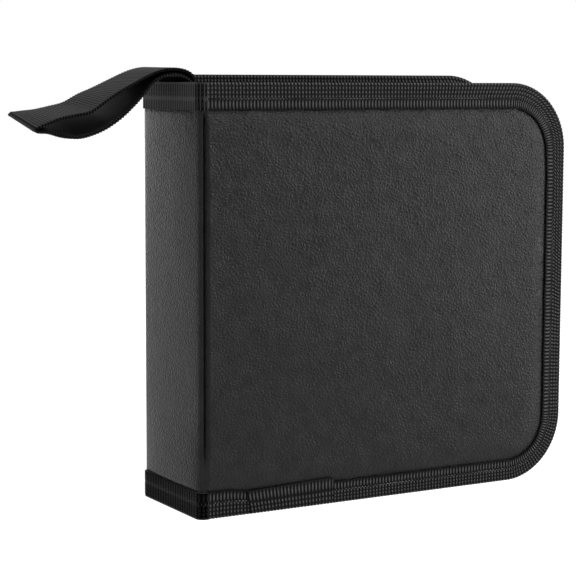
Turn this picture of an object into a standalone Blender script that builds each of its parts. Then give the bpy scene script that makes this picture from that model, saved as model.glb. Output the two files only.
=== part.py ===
# A zip-around disc wallet that stands on its edges: a spine, two padded covers that swing out from it,
# sleeves for the discs sewn to the spine, a zip in the recess between the covers and a wrist strap.
# Metres, +Z up, +X from the spine to the fore-edge, -Y on the front cover's side.
# The origin is the middle of the face that the spine's lower binding stands on.

import math

import bmesh
import bpy
from mathutils import Matrix, Vector
from mathutils.geometry import interpolate_bezier

# Overall sizes, over the binding
HEIGHT = 0.165
LENGTH = 0.1712
DEPTH = 0.050
BACK_RISE = 0.003  # the back cover's top edge stands this far above the front's
CORNER_RADIUS = 0.027
CORNER_STEPS = 8

# Sheets and fits
CLEARANCE = 0.0003
TAPE_THICK = 0.0006
LEATHER_THICK = 0.0008
LINING_THICK = 0.0005
ZIP_TAPE_THICK = 0.0005
COVER_BOARD_THICK = 0.002
COVER_FOAM_THICK = 0.0016
SPINE_BOARD_THICK = 0.0012

# Binding
OUTER_LEG = 0.0103
INNER_LEG = 0.0085
LAP_START = 0.022  # where the tape's end laps over its beginning, from the spine's face
LAP_LENGTH = 0.037
LAP_EDGE = 0.0004

# Crease between the spine and each cover
CREASE = 0.0006
SPINE_CORNER_RADIUS = 0.0022
SPINE_CORNER_STEPS = 4

# Padding: the leather and the lining swell from the sewn border to the panel in two steps
SEWN_BORDER = 0.0109
SWELL_FIRST = 0.0012
SWELL_SECOND = 0.0024
SWELL_SHARE = 0.6
LEATHER_SWELL = 0.0018

# Zip
RECESS = 0.0095
ZIP_START = 0.0106  # from the spine's face
ZIP_HEM = 0.0012  # the zip tape stops this far inside the binding's edge
CHAIN_HALF_GAP = 0.003
CHAIN_THICK = 0.0016
CORD_WIDTH = 0.0012
TOOTH_PITCH = 0.004
TOOTH_REACH = 0.0025
TOOTH_TIP_SHARE = 0.62
STOP_LENGTH = 0.004
STOP_WALL = 0.0006

# Slider and its pull
SLIDER_LENGTH = 0.011
SLIDER_NOSE_WIDTH = 0.0096
SLIDER_TAIL_WIDTH = 0.0082
SLIDER_PLATE = 0.001
SLIDER_LIP = 0.0007
POST_LENGTH = 0.003
POST_WIDTH = 0.0024
BAIL_LENGTH = 0.006
BAIL_WIDTH = 0.002
BAIL_THICK = 0.0009
PULL_LENGTH = 0.028
PULL_WIDTH = 0.0072
PULL_THICK = 0.0015
PULL_WINDOW_LENGTH = 0.0041
PULL_WINDOW_WIDTH = 0.0032
PULL_HOLE_RADIUS = 0.0014

# Sleeves: as many leaves as the room between the covers takes
LEAF_THICK = 0.001
LEAF_PITCH = 0.0018
LEAF_ROOT = 0.008
LEAF_TOP_GAP = 0.003  # from the leaves' edges to the chain's middle, above and below
LEAF_FORE_GAP = 0.0128
STRIP_WALL = 0.0008
STRIP_REACH = 0.012

# Wrist strap: x from the spine's face, height from its top edge, rise of the far selvedge over the near one
STRAP_WIDTH = 0.025
STRAP_THICK = 0.0011
STRAP_TUCK = 0.011
STRAP_ASIDE = 0.005  # its middle lies this far toward the back cover
STRAP_SPAN_STEPS = 3
STRAP_OVER = [
    (0.0067, 0.0020, 0.0),
    (0.0046, 0.0037, 0.0),
    (0.0016, 0.0047, 0.0002),
    (-0.0024, 0.0050, 0.0003),
    (-0.0072, 0.0042, 0.0002),
    (-0.0114, 0.0027, 0.0002),
    (-0.0175, -0.0001, 0.0004),
    (-0.0237, -0.0031, 0.0009),
    (-0.0298, -0.0062, 0.0022),
    (-0.0358, -0.0093, 0.0029),
    (-0.0418, -0.0109, 0.0026),
    (-0.0478, -0.0121, 0.0026),
    (-0.0518, -0.0130, 0.0036),
]
STRAP_FOLD = [
    (-0.0548, -0.0139, 0.0047),
    (-0.0561, -0.0151, 0.0059),
    (-0.0553, -0.0163, 0.0060),
]
STRAP_UNDER = [
    (-0.0528, -0.0168, 0.0046),
    (-0.0478, -0.0175, 0.0042),
    (-0.0438, -0.0179, 0.0045),
    (-0.0398, -0.0176, 0.0052),
    (-0.0358, -0.0166, 0.0054),
    (-0.0318, -0.0157, 0.0042),
    (-0.0278, -0.0144, 0.0026),
    (-0.0228, -0.0120, 0.0010),
    (-0.0176, -0.0078, 0.0002),
    (-0.0143, -0.0045, 0.0001),
    (-0.0106, -0.0005, 0.0001),
    (-0.0076, 0.0018, 0.0002),
    (-0.0038, 0.0030, 0.0002),
    (0.0004, 0.0030, 0.0),
    (0.0036, 0.0020, 0.0),
    (0.0051, 0.0010, 0.0),
]

# Places that follow from the sizes
FRONT = -1
BACK = 1
SPINE_THICK = LEATHER_THICK + SPINE_BOARD_THICK + LINING_THICK + 2 * CLEARANCE
BAR_OUT = -SPINE_THICK / 2
BAR_IN = SPINE_THICK / 2
FACE_X = BAR_OUT - CLEARANCE - TAPE_THICK
END_X = FACE_X + LENGTH
COVER_X = BAR_IN + CREASE
HINGE_X = BAR_IN + CREASE / 2
HINGE_Y = DEPTH / 2
EDGE_FIT = TAPE_THICK + CLEARANCE
LEATHER_OUT = HINGE_Y - EDGE_FIT
LINING_OUT = LEATHER_OUT - LEATHER_THICK - CLEARANCE
ZIP_TAPE_OUT = LINING_OUT - LINING_THICK - CLEARANCE
LEG_OUT = ZIP_TAPE_OUT - ZIP_TAPE_THICK - CLEARANCE
LEG_IN = LEG_OUT - TAPE_THICK
PANEL_OUT = LEATHER_OUT + LEATHER_SWELL - LEATHER_THICK
FOAM_OUT = PANEL_OUT - CLEARANCE
BOARD_OUT = FOAM_OUT - COVER_FOAM_THICK - CLEARANCE
PANEL_IN = BOARD_OUT - COVER_BOARD_THICK - CLEARANCE
LINING_SWELL = LINING_OUT - PANEL_IN
PANEL_INSET = SEWN_BORDER + SWELL_FIRST + SWELL_SECOND
ZIP_X = FACE_X + ZIP_START
ZIP_TOP = HEIGHT - RECESS
ZIP_BOTTOM = RECESS
ZIP_END = END_X - RECESS
ZIP_RADIUS = CORNER_RADIUS - RECESS
SLIDER_X = ZIP_X + CLEARANCE
CHAIN_X = SLIDER_X + POST_LENGTH + 2 * CLEARANCE
PLATE_LOW = CHAIN_THICK / 2 + CLEARANCE
PLATE_HIGH = PLATE_LOW + SLIDER_PLATE
PULL_X = SLIDER_X + SLIDER_LENGTH / 2
PULL_Z = ZIP_TOP + PLATE_HIGH + CLEARANCE + PULL_THICK / 2
STRIP_X = BAR_IN + CLEARANCE
SLEEVE_X = STRIP_X + STRIP_WALL + CLEARANCE
SLEEVE_ROOM = 2 * (PANEL_IN - LINING_THICK - STRIP_WALL - 2 * CLEARANCE)
LEAF_GAP = LEAF_PITCH - LEAF_THICK
LEAF_COUNT = int((SLEEVE_ROOM + LEAF_GAP) / LEAF_PITCH)
SLEEVE_HALF = (LEAF_COUNT * LEAF_PITCH - LEAF_GAP) / 2
LEAF_LOW = ZIP_BOTTOM + LEAF_TOP_GAP
LEAF_HIGH = ZIP_TOP - LEAF_TOP_GAP
LEAF_START = SLEEVE_X + CLEARANCE
LEAF_END = ZIP_END - LEAF_FORE_GAP


def fresh_scene():
    for item in list(bpy.data.objects):
        bpy.data.objects.remove(item, do_unlink=True)
    for name in ("disc_wallet", "cutters"):
        if name not in bpy.data.collections:
            bpy.context.scene.collection.children.link(bpy.data.collections.new(name))


def material(name, colour, roughness, metallic=0.0):
    made = bpy.data.materials.new(name)
    made.use_nodes = True
    surface = made.node_tree.nodes["Principled BSDF"]
    surface.inputs["Base Color"].default_value = (*colour, 1.0)
    surface.inputs["Roughness"].default_value = roughness
    surface.inputs["Metallic"].default_value = metallic
    return made


def add_object(name, bm, finish=None, smooth_angle=None):
    """Turns a bmesh into a named object, in the model's collection or, without a finish, among the cutters."""
    if not any(edge.is_boundary for edge in bm.edges):
        bmesh.ops.recalc_face_normals(bm, faces=bm.faces)
    mesh = bpy.data.meshes.new(name)
    bm.to_mesh(mesh)
    bm.free()
    made = bpy.data.objects.new(name, mesh)
    if finish:
        bpy.data.collections["disc_wallet"].objects.link(made)
        mesh.materials.append(finish)
    else:
        bpy.data.collections["cutters"].objects.link(made)
        made.hide_render = True
        made.display_type = "WIRE"
    if smooth_angle:
        mesh.shade_smooth()
        mesh.set_sharp_from_angle(angle=smooth_angle)
    return made


def boolean(target, tool, operation="DIFFERENCE"):
    step = target.modifiers.new(tool.name, "BOOLEAN")
    step.operation = operation
    step.solver = "EXACT"
    step.object = tool


def thicken(target, thickness, offset):
    step = target.modifiers.new("thickness", "SOLIDIFY")
    step.thickness = thickness
    step.offset = offset
    step.use_even_offset = True


def box_bmesh(low, high):
    """A box between two corners."""
    bm = bmesh.new()
    bmesh.ops.create_cube(bm, size=1.0)
    low, high = Vector(low), Vector(high)
    size = high - low
    place = Matrix.Translation((low + high) / 2) @ Matrix.Diagonal((*size, 1.0))
    bmesh.ops.transform(bm, matrix=place, verts=bm.verts)
    return bm


def box(name, low, high, finish=None):
    return add_object(name, box_bmesh(low, high), finish)


def upright_edges(bm, x_sign):
    """The edges along Z on one side, by the sign of x."""
    middle = sum(v.co.x for v in bm.verts) / len(bm.verts)
    found = []
    for edge in bm.edges:
        a, b = (v.co for v in edge.verts)
        along_z = abs(a.x - b.x) < 1e-7 and abs(a.y - b.y) < 1e-7
        if along_z and (a.x - middle) * x_sign > 0:
            found.append(edge)
    return found


def cover_sheet(start, height, inset, y, side):
    """A flat face in a cover's plane, facing away from the other cover, its fore-edge corners rounded."""
    bm = bmesh.new()
    bmesh.ops.create_grid(bm, x_segments=1, y_segments=1, size=0.5)
    width = END_X - inset - start
    tall = height - 2 * inset
    centre = Vector((start + width / 2, side * y, height / 2))
    upright = Matrix.Rotation(math.pi / 2, 4, "X")
    place = Matrix.Translation(centre) @ upright @ Matrix.Diagonal((width, tall, 1.0, 1.0))
    bmesh.ops.transform(bm, matrix=place, verts=bm.verts)
    corners = [v for v in bm.verts if v.co.x > centre.x]
    bmesh.ops.bevel(
        bm,
        geom=corners,
        offset=CORNER_RADIUS - inset,
        segments=CORNER_STEPS,
        profile=0.5,
        affect="VERTICES",
    )
    bm.normal_update()
    for face in bm.faces:
        if face.normal.y * side < 0:
            face.normal_flip()
    return bm


def cover_plate(start, height, inset, y_out, y_in, side):
    """A plate with the cover's outline, from y_out to y_in on one side."""
    bm = cover_sheet(start, height, inset, y_out, side)
    raised = bmesh.ops.extrude_face_region(bm, geom=bm.faces[:])
    moved = [item for item in raised["geom"] if isinstance(item, bmesh.types.BMVert)]
    bmesh.ops.translate(bm, verts=moved, vec=(0.0, side * (y_in - y_out), 0.0))
    return bm


def swollen_sheet(name, height, y, rise, thickness, side, finish):
    """Leather or lining: flat where it is sewn, swelling by rise over the padding, cut off at the crease."""
    bm = cover_sheet(COVER_X - SEWN_BORDER + EDGE_FIT - SWELL_FIRST / 2, height, EDGE_FIT, y, side)
    panel = bm.faces[:]
    border = SEWN_BORDER - EDGE_FIT
    bmesh.ops.inset_region(bm, faces=panel, thickness=border, use_boundary=True, use_even_offset=True)
    bmesh.ops.inset_region(bm, faces=panel, thickness=SWELL_FIRST, depth=rise * SWELL_SHARE, use_even_offset=True)
    rest = rise * (1 - SWELL_SHARE)
    bmesh.ops.inset_region(bm, faces=panel, thickness=SWELL_SECOND, depth=rest, use_even_offset=True)
    bmesh.ops.bisect_plane(
        bm,
        geom=bm.verts[:] + bm.edges[:] + bm.faces[:],
        plane_co=(COVER_X, 0.0, 0.0),
        plane_no=(-1.0, 0.0, 0.0),
        clear_outer=True,
    )
    made = add_object(name, bm, finish, smooth_angle=math.radians(50))
    thicken(made, thickness, -1.0)
    return made


def cover_padding(name, height, y_out, thickness, side, finish):
    bm = cover_plate(COVER_X + SWELL_FIRST + SWELL_SECOND, height, PANEL_INSET, y_out, y_out - thickness, side)
    return add_object(name, bm, finish)


def cover_binding(name, height, side, finish):
    """A channel of folded tape round three edges of a cover, open at both ends by the crease."""
    past = COVER_X - CORNER_RADIUS
    made = add_object(name, cover_plate(COVER_X, height, 0.0, HINGE_Y, LEG_IN, side), finish)
    cavity = cover_plate(past, height, TAPE_THICK, HINGE_Y - TAPE_THICK, LEG_OUT, side)
    boolean(made, add_object(name + "_cavity", cavity))
    outer_window = cover_plate(past, height, OUTER_LEG, DEPTH, LINING_OUT, side)
    boolean(made, add_object(name + "_outer_window", outer_window))
    inner_window = cover_plate(past, height, INNER_LEG, LINING_OUT, 0.0, side)
    boolean(made, add_object(name + "_inner_window", inner_window))
    return made


def binding_lap(target):
    """The tape's end, lapped over the front cover's lower run and cut on a slant."""
    bm = box_bmesh(
        (FACE_X + LAP_START, -HINGE_Y - TAPE_THICK, LAP_EDGE),
        (FACE_X + LAP_START + LAP_LENGTH, -HINGE_Y + TAPE_THICK / 2, OUTER_LEG - LAP_EDGE),
    )
    for v in bm.verts:
        if v.co.x < FACE_X + LAP_START + LAP_LENGTH / 2 and v.co.z > OUTER_LEG / 2:
            v.co.x -= LAP_EDGE * 4
    boolean(target, add_object("lap", bm), "UNION")


def spine_bar(low_x, high_x, half_width, low_z, high_z, radius):
    """A bar across the spine, with the two corners of its outer face rounded."""
    bm = box_bmesh((low_x, -half_width, low_z), (high_x, half_width, high_z))
    bmesh.ops.bevel(
        bm,
        geom=upright_edges(bm, -1),
        offset=radius,
        segments=SPINE_CORNER_STEPS,
        profile=0.5,
        affect="EDGES",
    )
    return bm


def spine_leather(finish):
    """Leather wrapped round the spine's board, back to both creases."""
    bm = spine_bar(BAR_OUT, BAR_IN, LEATHER_OUT, EDGE_FIT, HEIGHT - EDGE_FIT, SPINE_CORNER_RADIUS)
    made = add_object("spine_leather", bm, finish, smooth_angle=math.radians(40))
    hollow = spine_bar(
        BAR_OUT + LEATHER_THICK,
        BAR_IN + LEATHER_THICK,
        LEATHER_OUT - LEATHER_THICK,
        -EDGE_FIT,
        HEIGHT + EDGE_FIT,
        SPINE_CORNER_RADIUS - LEATHER_THICK,
    )
    boolean(made, add_object("spine_leather_hollow", hollow))
    return made


def spine_inside(board_finish, lining_finish):
    board_x = BAR_OUT + LEATHER_THICK + CLEARANCE
    half = LEATHER_OUT - LEATHER_THICK - CLEARANCE
    low, high = EDGE_FIT, HEIGHT - EDGE_FIT
    radius = SPINE_CORNER_RADIUS - LEATHER_THICK - CLEARANCE
    board = spine_bar(board_x, board_x + SPINE_BOARD_THICK, half, low, high, radius)
    add_object("spine_board", board, board_finish)
    box("spine_lining", (BAR_IN - LINING_THICK, -half, low), (BAR_IN, half, high), lining_finish)


def spine_binding(name, low_z, up, finish):
    """A channel of folded tape along one end of the spine, its inner leg between the two covers."""
    inner_half = PANEL_IN - LINING_THICK - CLEARANCE
    in_x = BAR_IN + EDGE_FIT
    tip = low_z + up * OUTER_LEG
    web = low_z + up * TAPE_THICK
    low, high = sorted((low_z, tip))
    outside = SPINE_CORNER_RADIUS + EDGE_FIT
    made = add_object(name, spine_bar(FACE_X, in_x, HINGE_Y, low, high, outside), finish)
    low, high = sorted((web, tip + up * OUTER_LEG))
    inside = SPINE_CORNER_RADIUS + CLEARANCE
    cavity = spine_bar(FACE_X + TAPE_THICK, in_x - TAPE_THICK, HINGE_Y - TAPE_THICK, low, high, inside)
    boolean(made, add_object(name + "_cavity", cavity))
    low, high = sorted((low_z - up * OUTER_LEG, tip + up * OUTER_LEG))
    for side in (FRONT, BACK):
        near, far = sorted((side * inner_half, side * DEPTH))
        notch = box(name + "_notch", (BAR_IN, near, low), (DEPTH, far, high))
        boolean(made, notch)
    low, high = sorted((low_z + up * INNER_LEG, tip + up * OUTER_LEG))
    trim = box(name + "_trim", (BAR_IN, -DEPTH, low), (DEPTH, DEPTH, high))
    boolean(made, trim)
    return made


def zip_tape(name, height, side, finish):
    """Zip tape: sewn flat inside a cover's border, then across the recess as far as the chain."""
    flat_y = ZIP_TAPE_OUT - ZIP_TAPE_THICK / 2
    start = ZIP_X - 2 * RECESS
    bm = cover_sheet(start, height, ZIP_HEM, flat_y, side)
    inner = bm.faces[:]
    hem = RECESS - ZIP_HEM
    bmesh.ops.inset_region(bm, faces=inner, thickness=hem, use_boundary=True, use_even_offset=True)
    fold = []
    for edge in inner[0].edges:
        if any(v.co.x > ZIP_X for v in edge.verts):
            fold.append(edge)
    bmesh.ops.delete(bm, geom=inner, context="FACES_ONLY")
    wall = bmesh.ops.extrude_edge_only(bm, edges=fold)
    moved = [item for item in wall["geom"] if isinstance(item, bmesh.types.BMVert)]
    bmesh.ops.translate(bm, verts=moved, vec=(0.0, side * (CHAIN_HALF_GAP - flat_y), 0.0))
    upper = [v for v in moved if v.co.z > HEIGHT / 2]
    bmesh.ops.translate(bm, verts=upper, vec=(0.0, 0.0, HEIGHT - height))
    bmesh.ops.bisect_plane(
        bm,
        geom=bm.verts[:] + bm.edges[:] + bm.faces[:],
        plane_co=(ZIP_X, 0.0, 0.0),
        plane_no=(-1.0, 0.0, 0.0),
        clear_outer=True,
    )
    bmesh.ops.recalc_face_normals(bm, faces=bm.faces)
    made = add_object(name, bm, finish, smooth_angle=math.radians(40))
    thicken(made, ZIP_TAPE_THICK, 0.0)
    return made


def zip_line(distance):
    """Where the chain is, this far along it from its upper end: x, z and its direction's angle."""
    straight = ZIP_END - ZIP_RADIUS - CHAIN_X
    quarter = math.pi / 2 * ZIP_RADIUS
    upright = ZIP_TOP - ZIP_BOTTOM - 2 * ZIP_RADIUS
    if distance <= straight:
        return CHAIN_X + distance, ZIP_TOP, 0.0
    distance -= straight
    if distance <= quarter:
        angle = distance / ZIP_RADIUS
        x = ZIP_END - ZIP_RADIUS + ZIP_RADIUS * math.sin(angle)
        z = ZIP_TOP - ZIP_RADIUS + ZIP_RADIUS * math.cos(angle)
        return x, z, -angle
    distance -= quarter
    if distance <= upright:
        return ZIP_END, ZIP_TOP - ZIP_RADIUS - distance, -math.pi / 2
    distance -= upright
    if distance <= quarter:
        angle = distance / ZIP_RADIUS
        x = ZIP_END - ZIP_RADIUS + ZIP_RADIUS * math.cos(angle)
        z = ZIP_BOTTOM + ZIP_RADIUS - ZIP_RADIUS * math.sin(angle)
        return x, z, -math.pi / 2 - angle
    distance -= quarter
    return ZIP_END - ZIP_RADIUS - distance, ZIP_BOTTOM, -math.pi


def chain_length():
    straight = ZIP_END - ZIP_RADIUS - CHAIN_X
    upright = ZIP_TOP - ZIP_BOTTOM - 2 * ZIP_RADIUS
    return 2 * straight + upright + math.pi * ZIP_RADIUS


def zip_coil(name, side, finish):
    """One half of the chain: a cord along the tape's edge with a tooth on every other cell, each in a gap opposite."""
    teeth = int(chain_length() / TOOTH_PITCH)
    cells = 2 * teeth
    step = chain_length() / cells
    cord_out = CHAIN_HALF_GAP - CLEARANCE
    cord_in = cord_out - CORD_WIDTH
    bm = bmesh.new()
    bmesh.ops.create_grid(bm, x_segments=1, y_segments=1, size=0.5)
    across = Matrix.Diagonal((CORD_WIDTH, CHAIN_THICK, 1.0, 1.0))
    bmesh.ops.transform(bm, matrix=across, verts=bm.verts)
    flat = [v.co.copy() for v in bm.verts]

    def section(index):
        x, z, angle = zip_line(index * step)
        middle = Vector((x, side * (cord_out + cord_in) / 2, z))
        outward = Vector((-math.sin(angle), 0.0, math.cos(angle)))
        return [middle + Vector((0.0, side * p.x, 0.0)) + outward * p.y for p in flat]

    end = bm.faces[:][0]
    for v, place in zip(bm.verts, section(0)):
        v.co = place
    ring = list(bm.verts)
    for index in range(1, cells + 1):
        behind = end
        raised = bmesh.ops.extrude_face_region(bm, geom=[behind])
        end = [item for item in raised["geom"] if isinstance(item, bmesh.types.BMFace)][0]
        if index > 1:
            bmesh.ops.delete(bm, geom=[behind], context="FACES_ONLY")
        fresh = {}
        for v in end.verts:
            fresh[min(range(len(ring)), key=lambda k: (ring[k].co - v.co).length)] = v
        ring = [fresh[k] for k in range(len(flat))]
        for v, place in zip(ring, section(index)):
            v.co = place
    bmesh.ops.recalc_face_normals(bm, faces=bm.faces)
    bm.normal_update()
    toothed = []
    for face in bm.faces:
        if face.normal.y * side < -0.9:
            middle = face.calc_center_median()
            toothed.append((middle, face))
    order = sorted(toothed, key=lambda item: along_chain(item[0]))
    parity = 0 if side == FRONT else 1
    chosen = [face for index, (middle, face) in enumerate(order) if index % 2 == parity]
    grown = bmesh.ops.extrude_discrete_faces(bm, faces=chosen)
    for face in grown["faces"]:
        middle = face.calc_center_median()
        for v in face.verts:
            v.co = middle + (v.co - middle) * TOOTH_TIP_SHARE
            v.co.y -= side * TOOTH_REACH
    return add_object(name, bm, finish)


def along_chain(point):
    """A number that grows along the chain, from its upper end round to its lower one."""
    centre_x = ZIP_END - ZIP_RADIUS
    if point.x < centre_x:
        run = centre_x - point.x
        return -run if point.z > HEIGHT / 2 else HEIGHT + run
    return HEIGHT - point.z


def zip_stop(finish):
    """The box that holds the chain's lower end, open toward the teeth."""
    half = CHAIN_HALF_GAP - CLEARANCE
    high = CHAIN_THICK / 2 + CLEARANCE + STOP_WALL
    low_corner = (CHAIN_X - CLEARANCE - STOP_WALL, -half, ZIP_BOTTOM - high)
    high_corner = (CHAIN_X - CLEARANCE, half, ZIP_BOTTOM + high)
    made = box("zip_stop", low_corner, high_corner, finish)
    for sign in (-1, 1):
        inner = ZIP_BOTTOM + sign * (high - STOP_WALL)
        outer = ZIP_BOTTOM + sign * high
        low, top = sorted((inner, outer))
        flap = box(
            "stop_flap",
            (CHAIN_X - CLEARANCE - STOP_WALL / 2, -half, low),
            (CHAIN_X + STOP_LENGTH, half, top),
        )
        boolean(made, flap, "UNION")
    return made


def slider_plate(low_z, high_z):
    """One of the slider's plates, broad at the nose and narrower behind it."""
    bm = box_bmesh((SLIDER_X, -0.5, low_z), (SLIDER_X + SLIDER_LENGTH, 0.5, high_z))
    middle = SLIDER_X + SLIDER_LENGTH / 2
    for v in bm.verts:
        width = SLIDER_NOSE_WIDTH if v.co.x < middle else SLIDER_TAIL_WIDTH
        v.co.y *= width
    corners = upright_edges(bm, 1) + upright_edges(bm, -1)
    bmesh.ops.bevel(bm, geom=corners, offset=SLIDER_PLATE * 2, segments=3, profile=0.5, affect="EDGES")
    return bm


def zip_slider(finish):
    """Two plates joined by a post at the nose, with lips along the tapes and a bail for the pull."""
    body = add_object("zip_slider", slider_plate(ZIP_TOP + PLATE_LOW, ZIP_TOP + PLATE_HIGH), finish)
    below = add_object("slider_below", slider_plate(ZIP_TOP - PLATE_HIGH, ZIP_TOP - PLATE_LOW))
    boolean(body, below, "UNION")
    post = box(
        "slider_post",
        (SLIDER_X + CLEARANCE, -POST_WIDTH / 2, ZIP_TOP - PLATE_HIGH + SLIDER_PLATE / 2),
        (SLIDER_X + POST_LENGTH, POST_WIDTH / 2, ZIP_TOP + PLATE_HIGH - SLIDER_PLATE / 2),
    )
    boolean(body, post, "UNION")
    lip_y = CHAIN_HALF_GAP + CLEARANCE
    lip_tip = ZIP_TAPE_THICK / 2 + CLEARANCE
    for side in (-1, 1):
        for level in (-1, 1):
            near, far = sorted((side * lip_y, side * (lip_y + SLIDER_LIP)))
            low, high = sorted((level * lip_tip, level * (PLATE_LOW + SLIDER_PLATE / 2)))
            lip = box(
                "slider_lip",
                (SLIDER_X + 2 * SLIDER_PLATE, near, ZIP_TOP + low),
                (SLIDER_X + SLIDER_LENGTH - 2 * SLIDER_PLATE, far, ZIP_TOP + high),
            )
            boolean(body, lip, "UNION")
    arch_low = ZIP_TOP + PLATE_HIGH - SLIDER_PLATE / 2
    arch_high = PULL_Z + PULL_THICK / 2 * math.sqrt(2) + CLEARANCE + BAIL_THICK
    arch = box_bmesh(
        (PULL_X - BAIL_LENGTH / 2, -BAIL_WIDTH / 2, arch_low),
        (PULL_X + BAIL_LENGTH / 2, BAIL_WIDTH / 2, arch_high),
    )
    top = [edge for edge in arch.edges if all(v.co.z > PULL_Z for v in edge.verts)]
    crosswise = [edge for edge in top if abs(edge.verts[0].co.x - edge.verts[1].co.x) < CLEARANCE]
    bmesh.ops.bevel(arch, geom=crosswise, offset=BAIL_THICK, segments=3, profile=0.5, affect="EDGES")
    arch_object = add_object("slider_bail", arch)
    boolean(body, arch_object, "UNION")
    eye = box(
        "slider_eye",
        (PULL_X - BAIL_LENGTH / 2 + BAIL_THICK, -BAIL_WIDTH, ZIP_TOP + PLATE_HIGH),
        (PULL_X + BAIL_LENGTH / 2 - BAIL_THICK, BAIL_WIDTH, arch_high - BAIL_THICK),
    )
    boolean(body, eye)
    return body


def zip_puller(finish):
    """The pull: a tab with a window for the bail and a hole near its tip, its origin on the axis it swings on."""
    back = -PULL_THICK / 2
    bm = box_bmesh((back, -PULL_WIDTH / 2, -PULL_THICK / 2), (PULL_LENGTH, PULL_WIDTH / 2, PULL_THICK / 2))
    bmesh.ops.bevel(
        bm,
        geom=upright_edges(bm, 1),
        offset=PULL_WIDTH / 2 - CLEARANCE,
        segments=5,
        profile=0.5,
        affect="EDGES",
    )
    made = add_object("zip_puller", bm, finish)
    window = box(
        "pull_window",
        (PULL_THICK / 2, -PULL_WINDOW_WIDTH / 2, -PULL_THICK),
        (PULL_THICK / 2 + PULL_WINDOW_LENGTH, PULL_WINDOW_WIDTH / 2, PULL_THICK),
    )
    hole_bm = bmesh.new()
    bmesh.ops.create_cone(
        hole_bm,
        cap_ends=True,
        segments=16,
        radius1=PULL_HOLE_RADIUS,
        radius2=PULL_HOLE_RADIUS,
        depth=3 * PULL_THICK,
    )
    hole_x = PULL_LENGTH - PULL_WIDTH / 2
    bmesh.ops.translate(hole_bm, verts=hole_bm.verts, vec=(hole_x, 0.0, 0.0))
    hole = add_object("pull_hole", hole_bm)
    for item in (made, window, hole):
        item.location = (PULL_X, 0.0, PULL_Z)
    boolean(made, window)
    boolean(made, hole)
    return made


def disc_sleeves(finish):
    """Leaves of sleeves, joined along the spine where they are sewn."""
    made = box("disc_sleeves", (LEAF_START, -SLEEVE_HALF, LEAF_LOW), (LEAF_END, SLEEVE_HALF, LEAF_HIGH), finish)
    slots = bmesh.new()
    for index in range(LEAF_COUNT - 1):
        y = -SLEEVE_HALF + LEAF_THICK + index * LEAF_PITCH
        corner_low = Vector((LEAF_START + LEAF_ROOT, y, LEAF_LOW - LEAF_GAP))
        corner_high = Vector((LEAF_END + LEAF_GAP, y + LEAF_GAP, LEAF_HIGH + LEAF_GAP))
        made_here = bmesh.ops.create_cube(slots, size=1.0)
        place = Matrix.Translation((corner_low + corner_high) / 2)
        place = place @ Matrix.Diagonal((*(corner_high - corner_low), 1.0))
        bmesh.ops.transform(slots, matrix=place, verts=made_here["verts"])
    boolean(made, add_object("leaf_slots", slots))
    return made


def sleeve_strip(finish):
    """The strip that the leaves are sewn in, folded forward along both sides of them."""
    inside = SLEEVE_HALF + CLEARANCE
    half = inside + STRIP_WALL
    made = box("sleeve_strip", (STRIP_X, -half, LEAF_LOW), (STRIP_X + STRIP_REACH, half, LEAF_HIGH), finish)
    hollow = box(
        "strip_hollow",
        (STRIP_X + STRIP_WALL, -inside, LEAF_LOW - STRIP_WALL),
        (STRIP_X + STRIP_REACH + STRIP_WALL, inside, LEAF_HIGH + STRIP_WALL),
    )
    boolean(made, hollow)
    return made


def smooth_line(points, steps):
    """Points along a smooth curve through the given ones."""
    spots = [Vector(p) for p in points]
    line = [spots[0]]
    for index in range(len(spots) - 1):
        before = spots[max(index - 1, 0)]
        start, end = spots[index], spots[index + 1]
        after = spots[min(index + 2, len(spots) - 1)]
        span = (end - start).length
        lead = (end - before).normalized() * span / 3
        trail = (after - start).normalized() * span / 3
        line += interpolate_bezier(start, start + lead, end - trail, end, steps + 1)[1:]
    return line


def wrist_strap(finish):
    """One length of webbing: up from inside the spine, out, folded back and down inside again."""
    tuck_near = LENGTH - (END_X - BAR_IN) + EDGE_FIT + CLEARANCE + STRAP_THICK / 2
    tuck_far = tuck_near + STRAP_THICK + CLEARANCE
    start = [(tuck_far, -STRAP_TUCK, 0.0), (tuck_far, -STRAP_TUCK / 2, 0.0), (tuck_far, 0.0, 0.0)]
    finish_run = [(tuck_near, 0.0, 0.0), (tuck_near, -STRAP_TUCK / 2, 0.0), (tuck_near, -STRAP_TUCK, 0.0)]
    route = start + STRAP_OVER + STRAP_FOLD + STRAP_UNDER + finish_run
    line = smooth_line(route, STRAP_SPAN_STEPS)
    bm = bmesh.new()
    near_y = STRAP_ASIDE - STRAP_WIDTH / 2
    row = [bm.verts.new((FACE_X + x, near_y, HEIGHT + z - rise / 2)) for x, z, rise in line]
    edges = [bm.edges.new(pair) for pair in zip(row, row[1:])]
    wide = bmesh.ops.extrude_edge_only(bm, edges=edges)
    far = [item for item in wide["geom"] if isinstance(item, bmesh.types.BMVert)]
    for v in far:
        index = min(range(len(row)), key=lambda k: (row[k].co - v.co).length)
        v.co.y = near_y + STRAP_WIDTH
        v.co.z += line[index].z
    bmesh.ops.recalc_face_normals(bm, faces=bm.faces)
    made = add_object("wrist_strap", bm, finish, smooth_angle=math.radians(50))
    thicken(made, STRAP_THICK, 0.0)
    return made


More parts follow.
